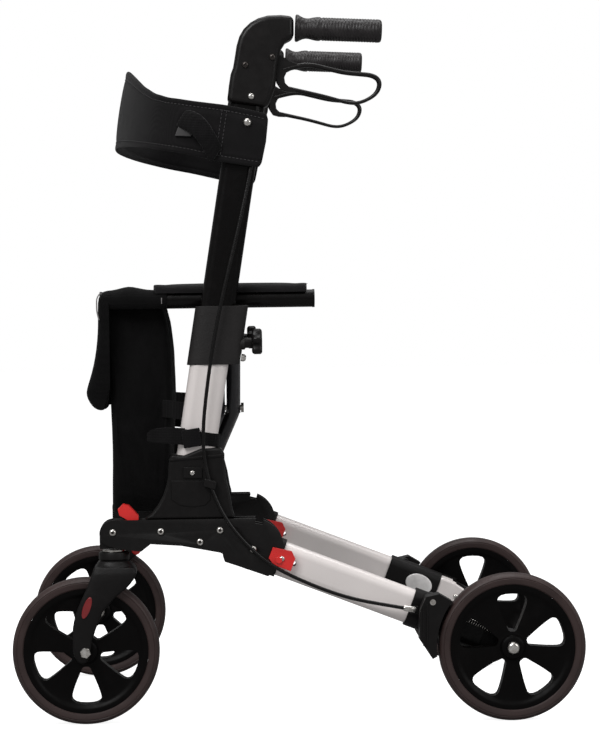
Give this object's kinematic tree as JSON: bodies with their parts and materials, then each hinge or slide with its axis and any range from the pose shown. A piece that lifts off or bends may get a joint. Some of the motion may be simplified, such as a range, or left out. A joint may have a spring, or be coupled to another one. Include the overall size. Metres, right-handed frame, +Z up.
{
  "type": "rollator walker",
  "caption": "Side-folding rollator: oval-tube side frames on casters and large rear wheels, cross brace with fabric seat, bag, backrest band and loop brake levers.",
  "frame": {"origin": "on the floor, midway between the front and rear axles and midway between the two side frames", "axes": "+Z up; -X towards the front casters, +X towards the grips; -Y is the user's left"},
  "size_m": [0.7776, 0.613, 0.961],
  "materials": {
    "plates_black": "gloss black powder coat on steel plate",
    "tube_pearl": "pearl silver-white paint on oval aluminium tube",
    "tube_black": "satin black powder coat",
    "bar_grey": "dark grey powder coat",
    "lever_black": "black coated steel rod",
    "plastic_black": "fine-textured moulded plastic",
    "plastic_gloss": "smooth moulded plastic",
    "red": "red moulded plastic",
    "steel": "bright zinc or chrome plating",
    "tyre": "warm dark grey soft solid tyre",
    "rim_black": "glossy black moulded rim",
    "grip": "soft rubber with a fine pattern",
    "fabric": "black woven nylon",
    "bag_fabric": "black coated nylon",
    "backrest_fabric": "black padded woven band",
    "cable": "black cable casing"
  },
  "bodies": {
    "frame_left": {"side_plates_left": "plates_black", "frame_bolts_left": "steel", "tower_left": "plastic_black", "upright_tube_left": "tube_pearl", "collar_left": "plastic_black", "caster_block_left": "plastic_gloss", "brake_cable_left": "cable"},
    "front_release_left": {"front_latch_left": "red"},
    "caster_left": {"fork_left": "plastic_gloss", "fork_hardware_left": "steel"},
    "front_wheel_left": {"front_tyre_left": "tyre", "front_rim_left": "rim_black"},
    "rear_leg_left": {"leg_hub_left": "plastic_black", "leg_tube_left": "tube_pearl", "brake_housing_left": "plastic_black", "rear_hardware_left": "steel"},
    "leg_release_left": {"leg_latch_left": "red"},
    "rear_wheel_left": {"rear_tyre_left": "tyre", "rear_rim_left": "rim_black"},
    "brake_shoe_left": {"brake_arm_left": "plastic_black"},
    "handle_left": {"inner_tube_left": "tube_black", "handle_bracket_left": "plastic_black", "handle_bolts_left": "steel", "grip_left": "grip", "backrest": "backrest_fabric"},
    "lever_left": {"brake_lever_left": "lever_black"},
    "knob_left": {"height_knob_left": "plastic_black"},
    "frame_right": {"side_plates_right": "plates_black", "frame_bolts_right": "steel", "tower_right": "plastic_black", "upright_tube_right": "tube_pearl", "collar_right": "plastic_black", "caster_block_right": "plastic_gloss", "brake_cable_right": "cable"},
    "front_release_right": {"front_latch_right": "red"},
    "caster_right": {"fork_right": "plastic_gloss", "fork_hardware_right": "steel"},
    "front_wheel_right": {"front_tyre_right": "tyre", "front_rim_right": "rim_black"},
    "rear_leg_right": {"leg_hub_right": "plastic_black", "leg_tube_right": "tube_pearl", "brake_housing_right": "plastic_black", "rear_hardware_right": "steel"},
    "leg_release_right": {"leg_latch_right": "red"},
    "rear_wheel_right": {"rear_tyre_right": "tyre", "rear_rim_right": "rim_black"},
    "brake_shoe_right": {"brake_arm_right": "plastic_black"},
    "handle_right": {"inner_tube_right": "tube_black", "handle_bracket_right": "plastic_black", "handle_bolts_right": "steel", "grip_right": "grip"},
    "lever_right": {"brake_lever_right": "lever_black"},
    "knob_right": {"height_knob_right": "plastic_black"},
    "brace_a": {"cross_bar_a": "bar_grey", "brace_pivot": "steel", "seat_rail_right": "tube_black"},
    "brace_b": {"cross_bar_b": "bar_grey", "seat_rail_left": "tube_black"},
    "seat": {"seat_fabric": "fabric", "bag": "bag_fabric"}
  },
  "joints": [
    {"name": "fold", "type": "hinge", "parent": "frame_left", "child": "brace_a", "pos_m": [-0.166, -0.205, 0.262], "axis": [1, 0, 0], "range_deg": [0, 36.59], "deforming": ["seat_fabric", "bag", "backrest"]},
    {"name": "brace_cross", "type": "hinge", "parent": "brace_a", "child": "brace_b", "pos_m": [-0.093, 0, 0.4188], "axis": [1, 0, 0], "range_deg": [-73.28, 0]},
    {"name": "brace_foot_right", "type": "hinge", "parent": "brace_b", "child": "frame_right", "pos_m": [-0.144, 0.205, 0.262], "axis": [1, 0, 0], "range_deg": [0, 36.69]},
    {"name": "seat_sleeve", "type": "hinge", "parent": "brace_b", "child": "seat", "pos_m": [-0.093, -0.205, 0.5756], "axis": [1, 0, 0], "range_deg": [0, 36.69]},
    {"name": "leg_fold_left", "type": "hinge", "parent": "frame_left", "child": "rear_leg_left", "pos_m": [-0.06, -0.245, 0.236], "axis": [0, -1, 0], "range_deg": [0, 100], "deforming": ["brake_cable_left"]},
    {"name": "leg_release_slide_left", "type": "slide", "parent": "rear_leg_left", "child": "leg_release_left", "axis": [0.9317, 0, -0.3633], "range_m": [0, 0.007], "stiffness_N_per_m": 300, "springref_m": -0.002},
    {"name": "front_release_press_left", "type": "hinge", "parent": "frame_left", "child": "front_release_left", "pos_m": [-0.2195, -0.245, 0.262], "axis": [0, 1, 0], "range_deg": [0, 12], "stiffness_Nm_per_rad": 0.5, "springref_deg": -8.59},
    {"name": "caster_swivel_left", "type": "hinge", "parent": "frame_left", "child": "caster_left", "pos_m": [-0.249, -0.245, 0.229], "axis": [0, 0, 1], "continuous": true},
    {"name": "front_wheel_spin_left", "type": "hinge", "parent": "caster_left", "child": "front_wheel_left", "pos_m": [-0.2888, -0.245, 0.1], "axis": [0, 1, 0], "continuous": true},
    {"name": "rear_wheel_spin_left", "type": "hinge", "parent": "rear_leg_left", "child": "rear_wheel_left", "pos_m": [0.2888, -0.28, 0.1], "axis": [0, 1, 0], "continuous": true},
    {"name": "height_left", "type": "slide", "parent": "frame_left", "child": "handle_left", "axis": [0.1599, 0, 0.9871], "range_m": [-0.14, 0]},
    {"name": "lever_squeeze_left", "type": "hinge", "parent": "handle_left", "child": "lever_left", "pos_m": [-0.0247, -0.245, 0.902], "axis": [0, -1, 0], "range_deg": [0, 14], "stiffness_Nm_per_rad": 1.5, "springref_deg": -5.73},
    {"name": "brake_press_left", "type": "hinge", "parent": "rear_leg_left", "child": "brake_shoe_left", "pos_m": [0.181, -0.28, 0.163], "axis": [0, -1, 0], "range_deg": [0, 2]},
    {"name": "knob_turn_left", "type": "hinge", "parent": "frame_left", "child": "knob_left", "pos_m": [-0.0575, -0.245, 0.515], "axis": [1, 0, 0], "continuous": true},
    {"name": "leg_fold_right", "type": "hinge", "parent": "frame_right", "child": "rear_leg_right", "pos_m": [-0.06, 0.245, 0.236], "axis": [0, -1, 0], "range_deg": [0, 100], "deforming": ["brake_cable_right"]},
    {"name": "leg_release_slide_right", "type": "slide", "parent": "rear_leg_right", "child": "leg_release_right", "axis": [0.9317, 0, -0.3633], "range_m": [0, 0.007], "stiffness_N_per_m": 300, "springref_m": -0.002},
    {"name": "front_release_press_right", "type": "hinge", "parent": "frame_right", "child": "front_release_right", "pos_m": [-0.2195, 0.245, 0.262], "axis": [0, 1, 0], "range_deg": [0, 12], "stiffness_Nm_per_rad": 0.5, "springref_deg": -8.59},
    {"name": "caster_swivel_right", "type": "hinge", "parent": "frame_right", "child": "caster_right", "pos_m": [-0.249, 0.245, 0.229], "axis": [0, 0, 1], "continuous": true},
    {"name": "front_wheel_spin_right", "type": "hinge", "parent": "caster_right", "child": "front_wheel_right", "pos_m": [-0.2888, 0.245, 0.1], "axis": [0, 1, 0], "continuous": true},
    {"name": "rear_wheel_spin_right", "type": "hinge", "parent": "rear_leg_right", "child": "rear_wheel_right", "pos_m": [0.2888, 0.28, 0.1], "axis": [0, 1, 0], "continuous": true},
    {"name": "height_right", "type": "slide", "parent": "frame_right", "child": "handle_right", "axis": [0.1599, 0, 0.9871], "range_m": [-0.14, 0]},
    {"name": "lever_squeeze_right", "type": "hinge", "parent": "handle_right", "child": "lever_right", "pos_m": [-0.0247, 0.245, 0.902], "axis": [0, -1, 0], "range_deg": [0, 14], "stiffness_Nm_per_rad": 1.5, "springref_deg": -5.73},
    {"name": "brake_press_right", "type": "hinge", "parent": "rear_leg_right", "child": "brake_shoe_right", "pos_m": [0.181, 0.28, 0.163], "axis": [0, -1, 0], "range_deg": [0, 2]},
    {"name": "knob_turn_right", "type": "hinge", "parent": "frame_right", "child": "knob_right", "pos_m": [-0.0575, 0.245, 0.515], "axis": [1, 0, 0], "continuous": true}
  ],
  "couplings": [
    {"joint": "brace_cross", "follows": "fold", "ratio": -2},
    {"joint": "brace_foot_right", "follows": "fold", "ratio": 1},
    {"joint": "seat_sleeve", "follows": "fold", "ratio": 1},
    {"joint": "brake_press_left", "follows": "lever_squeeze_left", "ratio": 0.14},
    {"joint": "brake_press_right", "follows": "lever_squeeze_right", "ratio": 0.14},
    {"joint": "height_right", "follows": "height_left", "ratio": 1}
  ]
}
